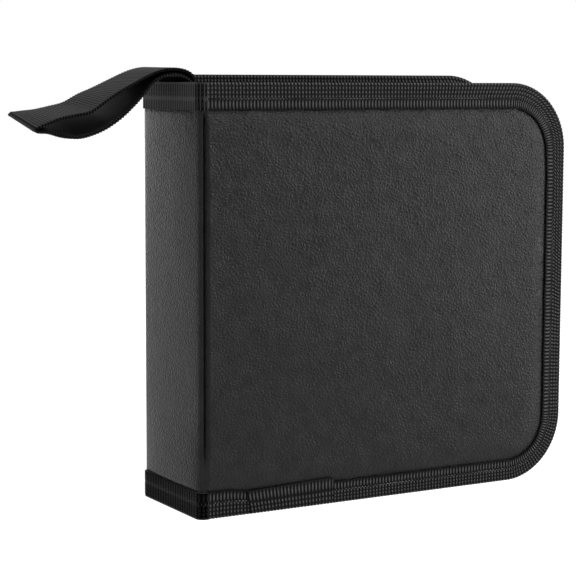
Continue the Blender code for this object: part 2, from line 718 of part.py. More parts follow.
def cover(prefix, height, side, finishes):
    """All the layers of one cover, outside to inside."""
    leather_y = LEATHER_OUT
    swollen_sheet(prefix + "_leather", height, leather_y, LEATHER_SWELL, LEATHER_THICK, side, finishes["leather"])
    cover_padding(prefix + "_foam", height, FOAM_OUT, COVER_FOAM_THICK, side, finishes["foam"])
    cover_padding(prefix + "_board", height, BOARD_OUT, COVER_BOARD_THICK, side, finishes["board"])
    swollen_sheet(prefix + "_lining", height, LINING_OUT, -LINING_SWELL, LINING_THICK, side, finishes["lining"])
    cover_binding(prefix + "_binding", height, side, finishes["binding"])
    zip_tape(prefix + "_zip_tape", height, side, finishes["zip_tape"])
    zip_coil(prefix + "_zip_coil", side, finishes["zip_coil"])


def hang_on_hinge(name, place, parts):
    """An empty on a joint's axis, with the pieces that swing or slide with it."""
    pivot = bpy.data.objects.new(name, None)
    pivot.location = place
    bpy.data.collections["disc_wallet"].objects.link(pivot)
    bpy.context.view_layer.update()
    for part in parts:
        part.parent = pivot
        part.matrix_parent_inverse = pivot.matrix_world.inverted()
    return pivot


def build():
    fresh_scene()
    finishes = {
        "leather": material("black_pu_leather", (0.020, 0.020, 0.022), 0.45),
        "foam": material("grey_foam", (0.30, 0.30, 0.30), 0.95),
        "board": material("grey_board", (0.25, 0.24, 0.22), 0.9),
        "lining": material("black_nylon_lining", (0.012, 0.012, 0.013), 0.8),
        "binding": material("black_grosgrain", (0.010, 0.010, 0.011), 0.75),
        "zip_tape": material("black_zip_tape", (0.011, 0.011, 0.012), 0.8),
        "zip_coil": material("black_nylon_coil", (0.015, 0.015, 0.016), 0.4),
        "webbing": material("black_webbing", (0.013, 0.013, 0.014), 0.7),
        "sleeves": material("white_sleeve_film", (0.60, 0.60, 0.62), 0.35),
        "metal": material("blackened_zinc", (0.05, 0.05, 0.055), 0.35, 0.9),
    }
    spine_leather(finishes["leather"])
    spine_inside(finishes["board"], finishes["lining"])
    spine_binding("spine_binding_bottom", 0.0, 1, finishes["binding"])
    spine_binding("spine_binding_top", HEIGHT, -1, finishes["binding"])
    sleeve_strip(finishes["lining"])
    disc_sleeves(finishes["sleeves"])
    wrist_strap(finishes["webbing"])
    cover("front", HEIGHT, FRONT, finishes)
    cover("back", HEIGHT + BACK_RISE, BACK, finishes)
    binding_lap(bpy.data.objects["front_binding"])
    zip_stop(finishes["metal"])
    slider = zip_slider(finishes["metal"])
    puller = zip_puller(finishes["metal"])
    model = bpy.data.collections["disc_wallet"].objects
    front_parts = [item for item in model if item.name.startswith("front_")]
    back_parts = [item for item in model if item.name.startswith("back_")] + [model["zip_stop"]]
    hang_on_hinge("front_hinge", (HINGE_X, -HINGE_Y, 0.0), front_parts)
    back_pivot = hang_on_hinge("back_hinge", (HINGE_X, HINGE_Y, 0.0), back_parts)
    slider_pivot = hang_on_hinge("slider_way", (SLIDER_X, 0.0, ZIP_TOP), [slider, puller])
    slider_pivot.parent = back_pivot
    slider_pivot.matrix_parent_inverse = back_pivot.matrix_world.inverted()


build()
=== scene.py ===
import math
import bmesh
import bpy
from mathutils import Matrix, Vector, noise
from mathutils.geometry import interpolate_bezier


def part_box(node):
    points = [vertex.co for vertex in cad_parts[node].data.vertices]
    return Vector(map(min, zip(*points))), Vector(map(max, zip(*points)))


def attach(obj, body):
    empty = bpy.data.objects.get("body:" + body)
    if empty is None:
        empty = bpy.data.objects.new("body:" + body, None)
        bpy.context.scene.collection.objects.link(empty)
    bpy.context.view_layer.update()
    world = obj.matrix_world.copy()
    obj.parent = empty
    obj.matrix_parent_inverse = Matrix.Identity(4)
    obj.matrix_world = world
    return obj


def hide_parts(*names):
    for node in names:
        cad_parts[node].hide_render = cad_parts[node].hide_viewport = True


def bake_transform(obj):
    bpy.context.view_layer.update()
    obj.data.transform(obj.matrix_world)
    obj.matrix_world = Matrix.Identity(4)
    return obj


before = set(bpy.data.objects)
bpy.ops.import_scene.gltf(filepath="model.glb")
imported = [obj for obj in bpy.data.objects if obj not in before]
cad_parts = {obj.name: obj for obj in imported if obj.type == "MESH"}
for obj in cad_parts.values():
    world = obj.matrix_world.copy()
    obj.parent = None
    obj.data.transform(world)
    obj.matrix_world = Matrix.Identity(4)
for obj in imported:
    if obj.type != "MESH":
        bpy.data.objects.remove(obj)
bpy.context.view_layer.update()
mm = 0.001

# sizes and places that the frame gives
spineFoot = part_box("spine_binding_bottom")
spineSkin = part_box("spine_leather")
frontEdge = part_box("front_binding")
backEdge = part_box("back_binding")
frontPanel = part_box("front_leather")
faceX = spineFoot[0].x
barOut = spineSkin[0].x
barIn = spineSkin[1].x
coverX = frontEdge[0].x
endX = frontEdge[1].x
halfDepth = spineFoot[1].y
frontTop = frontEdge[1].z
backTop = backEdge[1].z
panelY = -frontPanel[0].y
frontSide, backSide = -1, 1


# colour, selection and node helpers
def fromHex(code):
    parts = [int(code[i:i + 2], 16) / 255 for i in (0, 2, 4)]
    return [c / 12.92 if c <= 0.04045 else ((c + 0.055) / 1.055) ** 2.4 for c in parts] + [1.0]


def selectOnly(piece):
    bpy.ops.object.select_all(action="DESELECT")
    piece.select_set(True)
    bpy.context.view_layer.objects.active = piece


def addNode(owner, kind, inputs=None, **settings):
    node = owner.node_tree.nodes.new(kind)
    for name, value in settings.items():
        setattr(node, name, value)
    for socket, value in (inputs or {}).items():
        if isinstance(value, tuple) and hasattr(value[0], "outputs"):
            owner.node_tree.links.new(value[0].outputs[value[1]], node.inputs[socket])
        else:
            node.inputs[socket].default_value = value
    return node


def blankMaterial(name, **inputs):
    material = bpy.data.materials.new(name)
    material.use_nodes = True
    surface = material.node_tree.nodes["Principled BSDF"]
    for socket, value in inputs.items():
        surface.inputs[socket.replace("_", " ")].default_value = value
    return material, surface


def joinTo(material, node, output, surface, socket):
    material.node_tree.links.new(node.outputs[output], surface.inputs[socket])


def colourRamp(material, source, low, high, start=0.0, end=1.0):
    ramp = addNode(material, "ShaderNodeValToRGB", {0: source})
    ramp.color_ramp.elements[0].position = start
    ramp.color_ramp.elements[1].position = end
    ramp.color_ramp.elements[0].color = low
    ramp.color_ramp.elements[1].color = high
    return ramp


# materials
def grainedLeather():
    # polyurethane leather: rolled grain, soft gloss on the tops, and painted shade that darkens the colour in the
    # wrinkles' hollows
    look = {"grain": 1.5 * mm, "wrinkle": 7 * mm, "bump": 0.15 * mm}
    material, surface = blankMaterial("grainedPolyurethaneLeather", Specular_IOR_Level=0.12)
    place = addNode(material, "ShaderNodeTexCoord")
    turned = addNode(
        material, "ShaderNodeMapping", {0: (place, "Object"), "Rotation": (0.0, 0.6, 0.2), "Scale": (1.0, 1.0, 1.1)}
    )
    grain = addNode(
        material,
        "ShaderNodeTexVoronoi",
        {"Vector": (turned, 0), "Scale": 1 / look["grain"], "Randomness": 1.0},
        feature="DISTANCE_TO_EDGE",
    )
    fine = addNode(
        material,
        "ShaderNodeTexNoise",
        {"Vector": (turned, 0), "Scale": 1.6 / look["grain"], "Detail": 4.0, "Roughness": 0.6},
    )
    wrinkles = addNode(
        material,
        "ShaderNodeTexNoise",
        {"Vector": (turned, 0), "Scale": 1 / look["wrinkle"], "Detail": 6.0, "Roughness": 0.62, "Distortion": 0.6},
    )
    cell = addNode(material, "ShaderNodeMapRange", {"Value": (grain, "Distance"), "From Max": 0.35})
    height = addNode(material, "ShaderNodeMath", {0: (cell, 0), 1: (fine, "Fac")}, operation="ADD")
    folds = addNode(
        material, "ShaderNodeMath", {0: (wrinkles, "Fac"), 1: 1.6, 2: (height, 0)}, operation="MULTIPLY_ADD"
    )
    bump = addNode(
        material, "ShaderNodeBump", {"Height": (folds, 0), "Strength": 1.0, "Distance": look["bump"]}
    )
    # painted shade: the colour is darker where the wrinkles' height is low
    tone = colourRamp(material, (wrinkles, "Fac"), fromHex("181819"), fromHex("232324"), 0.35, 0.7)
    sheen = addNode(
        material,
        "ShaderNodeMapRange",
        {"Value": (fine, "Fac"), "From Min": 0.3, "From Max": 0.7, "To Min": 0.28, "To Max": 0.4},
    )
    joinTo(material, bump, 0, surface, "Normal")
    joinTo(material, tone, 0, surface, "Base Color")
    joinTo(material, sheen, 0, surface, "Roughness")
    return material


def ribbedTape(name, look):
    # grosgrain or webbing: cross ribs, and rows of small knuckles where the warp passes over them; painted highlight
    # on the knuckles and painted shade in the gaps between them
    material, surface = blankMaterial(name, Roughness=look["rough"], Specular_IOR_Level=look["spec"])
    strip = addNode(material, "ShaderNodeUVMap", uv_map="UVMap")
    parts = addNode(material, "ShaderNodeSeparateXYZ", {0: (strip, 0)})
    along = addNode(material, "ShaderNodeMath", {0: (parts, 0), 1: math.pi / look["rib"]}, operation="MULTIPLY")
    across = addNode(material, "ShaderNodeMath", {0: (parts, 1), 1: math.pi}, operation="MULTIPLY")
    ribWave = addNode(material, "ShaderNodeMath", {0: (along, 0)}, operation="SINE")
    rowWave = addNode(material, "ShaderNodeMath", {0: (across, 0)}, operation="SINE")
    rib = addNode(material, "ShaderNodeMath", {0: (ribWave, 0)}, operation="ABSOLUTE")
    row = addNode(material, "ShaderNodeMath", {0: (rowWave, 0)}, operation="ABSOLUTE")
    plump = addNode(material, "ShaderNodeMath", {0: (row, 0), 1: look["rows"]}, operation="POWER")
    knuckle = addNode(material, "ShaderNodeMath", {0: (rib, 0), 1: (plump, 0)}, operation="MULTIPLY")
    place = addNode(material, "ShaderNodeTexCoord")
    fuzz = addNode(
        material, "ShaderNodeTexNoise", {"Vector": (place, "Object"), "Scale": 1 / (0.5 * mm), "Detail": 3.0}
    )
    height = addNode(
        material, "ShaderNodeMath", {0: (fuzz, "Fac"), 1: 0.35, 2: (knuckle, 0)}, operation="MULTIPLY_ADD"
    )
    bump = addNode(
        material, "ShaderNodeBump", {"Height": (height, 0), "Strength": 1.0, "Distance": look["bump"]}
    )
    # painted highlight and painted shade: lighter colour on the knuckles, black in the gaps
    tone = colourRamp(material, (knuckle, 0), fromHex(look["dark"]), fromHex(look["light"]), 0.62, 1.0)
    joinTo(material, bump, 0, surface, "Normal")
    joinTo(material, tone, 0, surface, "Base Color")
    return material


def wovenCloth(name, thread, dark, light):
    # plain woven nylon: over and under threads, a little sheen
    material, surface = blankMaterial(name, Roughness=0.72, Specular_IOR_Level=0.3)
    surface.inputs["Sheen Weight"].default_value = 0.15
    place = addNode(material, "ShaderNodeTexCoord")
    weave = addNode(
        material, "ShaderNodeTexChecker", {"Vector": (place, "Object"), "Scale": 1 / thread}
    )
    shade = addNode(
        material, "ShaderNodeTexNoise", {"Vector": (place, "Object"), "Scale": 1 / (14 * mm), "Detail": 5.0}
    )
    tone = colourRamp(material, (shade, "Fac"), fromHex(dark), fromHex(light), 0.3, 0.7)
    bump = addNode(
        material, "ShaderNodeBump", {"Height": (weave, "Fac"), "Strength": 0.5, "Distance": 0.08 * mm}
    )
    joinTo(material, tone, 0, surface, "Base Color")
    joinTo(material, bump, 0, surface, "Normal")
    return material


def sewingThread():
    # waxed polyester thread: twisted, with a small gloss
    material, surface = blankMaterial("waxedPolyesterThread", Roughness=0.42)
    place = addNode(material, "ShaderNodeTexCoord")
    twist = addNode(material, "ShaderNodeTexNoise", {"Vector": (place, "Object"), "Scale": 1 / (0.35 * mm)})
    tone = colourRamp(material, (twist, "Fac"), fromHex("333334"), fromHex("5c5c5e"), 0.35, 0.65)
    joinTo(material, tone, 0, surface, "Base Color")
    return material


def mouldedNylon():
    # moulded nylon chain: smooth, with a faint mould texture
    material, surface = blankMaterial("mouldedNylonChain", Roughness=0.38)
    place = addNode(material, "ShaderNodeTexCoord")
    mottle = addNode(material, "ShaderNodeTexNoise", {"Vector": (place, "Object"), "Scale": 1 / (2 * mm)})
    tone = colourRamp(material, (mottle, "Fac"), fromHex("151516"), fromHex("202022"), 0.3, 0.7)
    joinTo(material, tone, 0, surface, "Base Color")
    return material


def blackenedZinc():
    # die-cast zinc under black paint: satin, the paint rubbed a little
    material, surface = blankMaterial("blackenedZincCasting", Metallic=0.85)
    place = addNode(material, "ShaderNodeTexCoord")
    rub = addNode(
        material, "ShaderNodeTexNoise", {"Vector": (place, "Object"), "Scale": 1 / (3 * mm), "Detail": 6.0}
    )
    tone = colourRamp(material, (rub, "Fac"), fromHex("2a2a2c"), fromHex("4a4a4d"), 0.4, 0.75)
    polish = addNode(material, "ShaderNodeMapRange", {"Value": (rub, "Fac"), "To Min": 0.25, "To Max": 0.5})
    joinTo(material, tone, 0, surface, "Base Color")
    joinTo(material, polish, 0, surface, "Roughness")
    return material


def sleeveFilm():
    # clear polypropylene film over white non-woven felt: milky and glossy, with faint ripples
    material, surface = blankMaterial("clearFilmOnWhiteFelt", Roughness=0.22, Coat_Weight=0.4)
    place = addNode(material, "ShaderNodeTexCoord")
    felt = addNode(
        material, "ShaderNodeTexNoise", {"Vector": (place, "Object"), "Scale": 1 / (1.2 * mm), "Detail": 5.0}
    )
    ripple = addNode(material, "ShaderNodeTexNoise", {"Vector": (place, "Object"), "Scale": 1 / (25 * mm)})
    tone = colourRamp(material, (felt, "Fac"), fromHex("c6c7ca"), fromHex("dcdde0"), 0.35, 0.65)
    bump = addNode(
        material, "ShaderNodeBump", {"Height": (ripple, "Fac"), "Strength": 0.4, "Distance": 0.6 * mm}
    )
    joinTo(material, tone, 0, surface, "Base Color")
    joinTo(material, bump, 0, surface, "Normal")
    return material


def fibreFill(name, dark, light, grain):
    # board or foam inside the covers, seen only where a cover is cut open
    material, surface = blankMaterial(name, Roughness=0.9)
    place = addNode(material, "ShaderNodeTexCoord")
    pores = addNode(material, "ShaderNodeTexNoise", {"Vector": (place, "Object"), "Scale": 1 / grain, "Detail": 4.0})
    tone = colourRamp(material, (pores, "Fac"), fromHex(dark), fromHex(light), 0.3, 0.7)
    joinTo(material, tone, 0, surface, "Base Color")
    return material


# the tapes' colours: dark is painted shade in the gaps between the ribs, light is painted highlight on the knuckles
tapeLook = {
    "rib": 1.5 * mm,
    "rows": 0.4,
    "bump": 0.4 * mm,
    "rough": 0.6,
    "spec": 0.1,
    "dark": "000000",
    "light": "4a4a4b",
}
webLook = {
    "rib": 1.2 * mm,
    "rows": 0.08,
    "bump": 0.35 * mm,
    "rough": 0.7,
    "spec": 0.06,
    "dark": "000000",
    "light": "2c2c2d",
}
# painted shade: a darker, less shiny copy of the tape, used on both spine tapes; at the top it stands in for the
# strap's shadow
spineShadeLook = dict(tapeLook, light="1e1e1f", spec=0.02)
leather = grainedLeather()
grosgrain = ribbedTape("polyesterGrosgrain", tapeLook)
spineShadedGrosgrain = ribbedTape("polyesterGrosgrainInShade", spineShadeLook)
webbing = ribbedTape("polyesterWebbing", webLook)
liningCloth = wovenCloth("wovenNylonLining", 0.5 * mm, "101011", "18181a")
zipCloth = wovenCloth("knittedZipTape", 0.6 * mm, "0f0f10", "171718")
thread = sewingThread()
nylon = mouldedNylon()
zinc = blackenedZinc()
film = sleeveFilm()
foamFill = fibreFill("openPolyurethaneFoam", "808080", "a0a0a0", 0.8 * mm)
boardFill = fibreFill("greyBookboard", "77736c", "8d8981", 1.5 * mm)
print("materials made")


# pieces that keep their CAD shape
def dressNode(name, material):
    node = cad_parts[name]
    node.data.materials.clear()
    node.data.materials.append(material)


for side in ("front", "back"):
    dressNode(side + "_foam", foamFill)
    dressNode(side + "_board", boardFill)
    dressNode(side + "_zip_tape", zipCloth)
dressNode("spine_board", boardFill)
dressNode("spine_lining", liningCloth)
dressNode("sleeve_strip", liningCloth)
dressNode("spine_binding_bottom", zipCloth)
dressNode("spine_binding_top", zipCloth)
for name in ("zip_stop", "zip_slider", "zip_puller"):
    dressNode(name, zinc)


# flat strips and sheets, cut to size and then shaped
def flatStrip(name, length, width, alongCells, acrossCells):
    bpy.ops.object.select_all(action="DESELECT")
    bpy.ops.mesh.primitive_grid_add(x_subdivisions=alongCells, y_subdivisions=acrossCells, size=1.0)
    piece = bpy.context.object
    piece.name = name
    for v in piece.data.vertices:
        v.co.x = (v.co.x + 0.5) * length
        v.co.y = (v.co.y + 0.5) * width
    cloth = piece.data.uv_layers["UVMap"]
    for loop in piece.data.loops:
        spot = piece.data.vertices[loop.vertex_index].co
        cloth.data[loop.index].uv = (spot.x, spot.y)
    return piece


def leanRibs(piece, lean):
    cloth = piece.data.uv_layers["UVMap"]
    for loop in piece.data.loops:
        spot = cloth.data[loop.index].uv
        cloth.data[loop.index].uv = (lean(spot.x, spot.y), spot.y)


def setRows(piece, rows):
    # the map's second number counts the rows of knuckles across the tape
    cloth = piece.data.uv_layers["UVMap"]
    for loop in piece.data.loops:
        spot = cloth.data[loop.index].uv
        cloth.data[loop.index].uv = (spot.x, rows(spot.y))


def tapeRows(t):
    # one broad row outside the seam, narrow rows of knuckles inside it
    seam = binding["seam"]
    return t / seam if t < seam else 1 + (t - seam) / binding["knuckleRow"]


def shapeStrip(piece, place):
    for v in piece.data.vertices:
        v.co = place(v.co.x, v.co.y)
    piece.data.update()


def faceOutwards(piece, outwards):
    # flips the faces unless most of them look the way that is outside at their place
    mesh = piece.data
    total = sum(outwards(face.center).dot(face.normal) * face.area for face in mesh.polygons)
    if total < 0:
        mesh.flip_normals()


def thicken(piece, thickness, offset=-1.0):
    selectOnly(piece)
    wall = piece.modifiers.new("wall", "SOLIDIFY")
    wall.thickness = thickness
    wall.offset = offset
    bpy.ops.object.modifier_apply(modifier=wall.name)


def smooth(piece, angle=60):
    selectOnly(piece)
    bpy.ops.object.shade_smooth_by_angle(angle=math.radians(angle))


def finishPiece(piece, material, nodes=()):
    piece.data.materials.clear()
    piece.data.materials.append(material)
    if nodes:
        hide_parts(*nodes)


def ease(value, low, high):
    t = min(max((value - low) / (high - low), 0.0), 1.0)
    return t * t * (3 - 2 * t)


def uneven(look, *spot):
    return noise.noise(Vector(spot) / look["size"]) * look["deep"]


# the covers' leather and lining
panel = {
    "cornerRadius": 27 * mm,
    "hem": 0.9 * mm,
    "underTape": 0.95 * mm,
    "swellStart": 10.2 * mm,
    "swellEnd": 21 * mm,
    "creaseDeep": 1.4 * mm,
    "creaseStart": 1.5 * mm,
    "creaseEnd": 3.0 * mm,
    "creaseFoot": (16 * mm, 34 * mm),
    "creaseTop": (9.5 * mm, 14 * mm),
    "bendEnd": 2 * mm,
    "pillow": 0.25 * mm,
    "pillowEnd": 60 * mm,
    "leatherStart": 0.9 * mm,
    "liningStart": 0.2 * mm,
    "cell": 1.0 * mm,
    "crowd": 1.3,
    "wave": {"size": 22 * mm, "deep": 0.14 * mm},
    "ripple": {"size": 7 * mm, "deep": 0.1 * mm},
    "leatherThick": 0.6 * mm,
    "liningThick": 0.4 * mm,
    "liningCell": 2.4 * mm,
    "liningSunk": 0.55 * mm,
}
pucker = {
    "x": 109 * mm,
    "z": 149 * mm,
    "lean": -0.62,
    "long": 16 * mm,
    "wide": 6 * mm,
    "step": 2.2 * mm,
    "deep": 0.3 * mm,
}
trim = {
    "foot": 0.17,
    "footBelow": (8 * mm, 30 * mm),
    "footAfter": (8 * mm, 24 * mm),
    "edge": 0.13,
    "edgeWithin": (30 * mm, 8 * mm),
    "edgeBelow": (40 * mm, 8 * mm),
}


def cornerCentre(x, z, top):
    # the centre of the rounded corner that a point lies in, if it lies in one
    radius = panel["cornerRadius"]
    if x > endX - radius and (z < radius or z > top - radius):
        return Vector((endX - radius, radius if z < radius else top - radius))
    return None


def insetFrom(x, z, top):
    # how far a point lies inside the cover's outline
    centre = cornerCentre(x, z, top)
    if centre is not None:
        return panel["cornerRadius"] - math.hypot(x - centre.x, z - centre.y)
    return min(endX - x, z, top - z)


def pullInside(x, z, top, hem):
    # brings a point of a square sheet inside the rounded outline
    centre = cornerCentre(x, z, top)
    if centre is None:
        return x, z
    away = Vector((x, z)) - centre
    reach = panel["cornerRadius"] - hem
    if away.length > reach:
        away = away.normalized() * reach
    return centre.x + away.x, centre.y + away.y


def tapeTrim(x, z, top):
    # how much of its full width the tape shows: less along the foot and up the fore-edge
    foot = (1 - ease(z, *trim["footBelow"])) * ease(x, *trim["footAfter"])
    within, below = trim["edgeWithin"], trim["edgeBelow"]
    edge = ease(x, endX - within[0], endX - within[1]) * (1 - ease(z, top - below[0], top - below[1]))
    return 1 - max(trim["foot"] * foot, trim["edge"] * edge)


def puckerAt(x, z):
    # stretch marks that run off the sewn edge
    away = Vector((x - pucker["x"], z - pucker["z"]))
    along = away.x * math.cos(pucker["lean"]) + away.y * math.sin(pucker["lean"])
    across = away.y * math.cos(pucker["lean"]) - away.x * math.sin(pucker["lean"])
    strength = math.exp(-((along / pucker["long"]) ** 2) - (across / pucker["wide"]) ** 2)
    step = pucker["step"]
    return pucker["deep"] * strength * noise.noise(Vector((along / (4 * step), across / step, 0.5)))


def coverSheet(name, side, top, startX, flatY, risenY, thickness, creaseDeep, cell):
    # a sheet that lies flat under the binding and swells over the padding
    hem = panel["hem"]
    long = endX - hem - startX
    tall = top - 2 * hem
    piece = flatStrip(name, long, tall, round(long / cell), round(tall / cell))
    rise = risenY - flatY

    def place(u, v):
        x, z = pullInside(startX + long * (u / long) ** panel["crowd"], hem + v, top, hem)
        inset = insetFrom(x, z, top)
        start = panel["swellStart"] * tapeTrim(x, z, top)
        near = min(max((inset - start) / (panel["swellEnd"] - start), 0.0), 1.0)
        fullness = 1 - (1 - near) ** 3
        crease = ease(x, barOut + panel["creaseStart"], barOut + panel["creaseEnd"]) if creaseDeep else 1.0
        pillow = panel["pillow"] * ease(inset, panel["swellEnd"], panel["pillowEnd"]) * math.copysign(1, rise)
        wave = uneven(panel["wave"], x, z, side) + uneven(panel["ripple"], x, z, side) + puckerAt(x, z)
        dip = creaseDeep * (1 - crease) * ease(z, *panel["creaseFoot"]) * ease(top - z, *panel["creaseTop"])
        y = flatY + (rise + pillow + wave) * fullness * crease - dip
        return Vector((x, side * y, z))

    shapeStrip(piece, place)
    selectOnly(piece)
    bpy.ops.object.mode_set(mode="EDIT")
    bpy.ops.mesh.select_all(action="SELECT")
    bpy.ops.mesh.remove_doubles(threshold=0.02 * mm)
    bpy.ops.mesh.dissolve_degenerate(threshold=0.01 * mm)
    bpy.ops.object.mode_set(mode="OBJECT")
    faceOutwards(piece, lambda spot: Vector((0, side, 0)))
    thicken(piece, thickness)
    smooth(piece)
    return piece


def dressCover(prefix, side, top):
    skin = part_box(prefix + "_leather")
    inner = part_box(prefix + "_lining")
    flat = halfDepth - panel["underTape"]
    risen = max(abs(skin[0].y), abs(skin[1].y)) - panel["pillow"]
    hide = coverSheet(
        prefix + "Leather",
        side,
        top,
        barOut + panel["leatherStart"],
        flat,
        risen,
        panel["leatherThick"],
        panel["creaseDeep"],
        panel["cell"],
    )
    finishPiece(hide, leather, [prefix + "_leather"])
    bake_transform(hide)
    flatIn = max(abs(inner[0].y), abs(inner[1].y))
    risenIn = min(abs(inner[0].y), abs(inner[1].y)) + panel["liningSunk"]
    cloth = coverSheet(
        prefix + "Lining",
        side,
        top,
        coverX + panel["liningStart"],
        flatIn,
        risenIn,
        panel["liningThick"],
        0.0,
        panel["liningCell"],
    )
    finishPiece(cloth, liningCloth, [prefix + "_lining"])
    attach(cloth, prefix + "_cover")


dressCover("front", frontSide, frontTop)
dressCover("back", backSide, backTop)
print("covers made")


# the spine's leather, wrapped round its board
def wrapSpine(u, side, radius, half, face, lift=0.0):
    # a path round the spine: the near side, a corner, the outer face, a corner and the far side
    quarter = math.pi / 2 * radius
    flat = 2 * (half - radius)
    reach = radius + lift
    if u < side:
        return face + radius + side - u, -half - lift
    u -= side
    if u < quarter:
        angle = u / radius
        return face + radius - reach * math.sin(angle), radius - half - reach * math.cos(angle)
    u -= quarter
    if u < flat:
        return face - lift, radius - half + u
    u -= flat
    if u < quarter:
        angle = u / radius
        return face + radius - reach * math.cos(angle), half - radius + reach * math.sin(angle)
    return face + radius + u - quarter, half + lift


def wrapLength(side, radius, half):
    return 2 * side + math.pi * radius + 2 * (half - radius)


def spineSheet():
    look = {
        "cornerRadius": 1.2 * mm,
        "crown": 0.9 * mm,
        "footCrown": 0.8 * mm,
        "foot": (9.8 * mm, 12 * mm),
        "footFade": (14 * mm, 45 * mm),
        "top": (9.2 * mm, 11.5 * mm),
        "wrap": 0.15 * mm,
        "sway": {"size": 25 * mm, "deep": 0.15 * mm},
        "cell": 1.0 * mm,
        "acrossCells": 90,
    }
    low, high = spineSkin[0].z, spineSkin[1].z
    half = spineSkin[1].y
    radius = look["cornerRadius"]
    length = wrapLength(look["wrap"], radius, half)
    piece = flatStrip("spineLeather", length, high - low, look["acrossCells"], round((high - low) / look["cell"]))

    def place(u, v):
        z = low + v
        between = ease(z, *look["foot"]) * ease(high - z, *look["top"])
        crown = (look["crown"] + look["footCrown"] * (1 - ease(z, *look["footFade"]))) * between
        x, y = wrapSpine(u, look["wrap"], radius, half, barOut)
        arch = math.cos(math.pi / 2 * y / (half - radius)) ** 0.5 if abs(y) < half - radius else 0.0
        sway = uneven(look["sway"], 0.3, y, z) * between
        return Vector((x + (sway - crown) * arch, y, z))

    shapeStrip(piece, place)
    faceOutwards(piece, lambda spot: Vector((-1, spot.y * 40, 0)))
    thicken(piece, panel["leatherThick"])
    smooth(piece)
    finishPiece(piece, leather, ["spine_leather"])
    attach(piece, "spine")


spineSheet()
print("spine made")


# the binding: tape folded round the covers' edges
binding = {
    "outerLeg": 10.3 * mm,
    "innerLeg": 8.5 * mm,
    "foldRadius": 0.9 * mm,
    "thick": 0.5 * mm,
    "ribDepth": 0.22 * mm,
    "ribPoints": 4,
    "acrossCells": 26,
    "skinCells": 14,
    "startBack": 0.1 * mm,
    "seam": 4.2 * mm,
    "seamDent": 0.16 * mm,
    "seamWide": 0.55 * mm,
    "knuckleRow": 1.6 * mm,
    "wander": {"size": 9 * mm, "deep": 0.14 * mm},
    "wanderWithin": 8 * mm,
    "wanderMost": 0.1 * mm,
    "proudMost": 0.15 * mm,
    "wavyEdge": {"size": 6 * mm, "deep": 0.25 * mm},
    "wavyWithin": 0.5 * mm,
    "lean": 1.1,
    "leanReach": 55 * mm,
    "leanBack": 20 * mm,
    "stitch": 3.0 * mm,
    "stitchLong": 2.5 * mm,
    "stitchThick": 0.5 * mm,
    "stitchSunk": 0.12 * mm,
}


def outlineSpot(s, inset, top):
    # a place on the cover's outline, from the crease along the foot, up the fore-edge and back along the top
    radius = panel["cornerRadius"]
    startX = barIn - binding["startBack"]
    run = endX - radius - startX
    quarter = math.pi / 2 * radius
    upright = top - 2 * radius
    if s < run:
        return startX + s, inset, 0.0
    s -= run
    if s < quarter:
        angle = s / radius
        return endX - radius + (radius - inset) * math.sin(angle), radius - (radius - inset) * math.cos(angle), angle
    s -= quarter
    if s < upright:
        return endX - inset, radius + s, math.pi / 2
    s -= upright
    if s < quarter:
        angle = s / radius
        across = (radius - inset) * math.cos(angle)
        return endX - radius + across, top - radius + (radius - inset) * math.sin(angle), math.pi / 2 + angle
    s -= quarter
    return endX - radius - s, top - inset, math.pi


def outlineLength(top):
    radius = panel["cornerRadius"]
    return 2 * (endX - radius - barIn + binding["startBack"]) + math.pi * radius + top - 2 * radius


def tapeSection(t, stack):
    # across the tape: how far inside the edge, how deep from the outer face, and which way it faces
    fold = binding["foldRadius"]
    outer = binding["outerLeg"] - fold
    quarter = math.pi / 2 * fold
    web = stack - 2 * fold
    if t < outer:
        return binding["outerLeg"] - t, 0.0, 0.0, -1.0
    t -= outer
    if t < quarter:
        angle = t / fold
        return fold - fold * math.sin(angle), fold - fold * math.cos(angle), -math.sin(angle), -math.cos(angle)
    t -= quarter
    if t < web:
        return 0.0, fold + t, -1.0, 0.0
    t -= web
    if t < quarter:
        angle = t / fold
        return fold - fold * math.cos(angle), stack - fold + fold * math.sin(angle), -math.cos(angle), math.sin(angle)
    t -= quarter
    return fold + t, stack, 0.0, 1.0


def ribLean(s, t, top):
    # the tape is pulled round the upper corner, so its ribs lean there outside the seam
    pulled = outlineLength(top) - (endX - barIn) - binding["leanBack"]
    share = math.exp(-(((s - pulled) / binding["leanReach"]) ** 2))
    return s + binding["lean"] * share * max(t - binding["seam"], 0.0)


def ribHeight(s):
    return binding["ribDepth"] * (abs(math.sin(math.pi * s / tapeLook["rib"])) - 1.0)


def seamDent(t):
    return binding["seamDent"] * math.exp(-((t - binding["seam"]) / binding["seamWide"]) ** 2)


